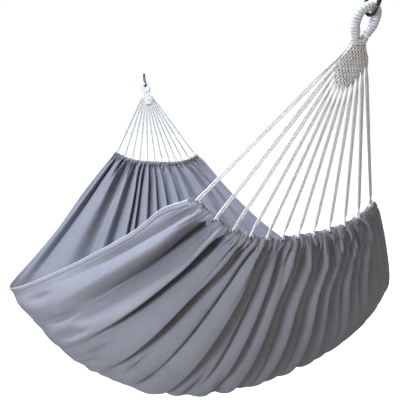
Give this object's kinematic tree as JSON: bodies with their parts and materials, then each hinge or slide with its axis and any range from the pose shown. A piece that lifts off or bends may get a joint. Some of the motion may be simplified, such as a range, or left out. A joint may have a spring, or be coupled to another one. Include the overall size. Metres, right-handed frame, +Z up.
{
  "type": "double hammock",
  "caption": "Gathered-end double hammock of cloth with fanned cords, plaited heads, wound eyes and a carabiner at each end.",
  "frame": {"origin": "halfway between the two hanging points, on the line through them", "axes": "+X towards the near hanging point, +Y to the right seen from the near end, +Z up"},
  "size_m": [1.9648, 1.2393, 1.1315],
  "materials": {
    "cloth": "woven cotton, matt",
    "cotton": "twisted cotton cord, matt",
    "black_steel": "black, half gloss",
    "pin_steel": "plain"
  },
  "bodies": {
    "hangers": {"near_carabiner": "black_steel", "near_gate_pin": "pin_steel", "far_carabiner": "black_steel", "far_gate_pin": "pin_steel"},
    "hammock": {"bed": "cloth", "near_sleeve": "cloth", "near_hem_rope": "cotton", "near_plaited_head": "cotton", "near_eye_core": "cotton", "near_eye_winding": "cotton", "near_neck_collar": "cotton", "far_sleeve": "cloth", "far_hem_rope": "cotton", "far_plaited_head": "cotton", "far_eye_core": "cotton", "far_eye_winding": "cotton", "far_neck_collar": "cotton", "near_cord_01": "cotton", "near_cord_02": "cotton", "near_cord_03": "cotton", "near_cord_04": "cotton", "near_cord_05": "cotton", "near_cord_06": "cotton", "near_cord_07": "cotton", "near_cord_08": "cotton", "near_cord_09": "cotton", "near_cord_10": "cotton", "near_cord_11": "cotton", "near_cord_12": "cotton", "far_cord_01": "cotton", "far_cord_02": "cotton", "far_cord_03": "cotton", "far_cord_04": "cotton", "far_cord_05": "cotton", "far_cord_06": "cotton", "far_cord_07": "cotton", "far_cord_08": "cotton", "far_cord_09": "cotton", "far_cord_10": "cotton", "far_cord_11": "cotton", "far_cord_12": "cotton"},
    "near_gate": {"near_gate": "black_steel"},
    "far_gate": {"far_gate": "black_steel"}
  },
  "joints": [
    {"name": "swing", "type": "hinge", "parent": "hangers", "child": "hammock", "pos_m": [0, 0, 0], "axis": [1, 0, 0], "range_deg": [-40, 40]},
    {"name": "near_gate_open", "type": "hinge", "parent": "hangers", "child": "near_gate", "pos_m": [0.95569, 0, 0.01058], "axis": [0, -1, 0], "range_deg": [0, 28], "stiffness_Nm_per_rad": 0.05},
    {"name": "far_gate_open", "type": "hinge", "parent": "hangers", "child": "far_gate", "pos_m": [-0.95633, 0, 0.00894], "axis": [0, 1, 0], "range_deg": [0, 28], "stiffness_Nm_per_rad": 0.05}
  ]
}
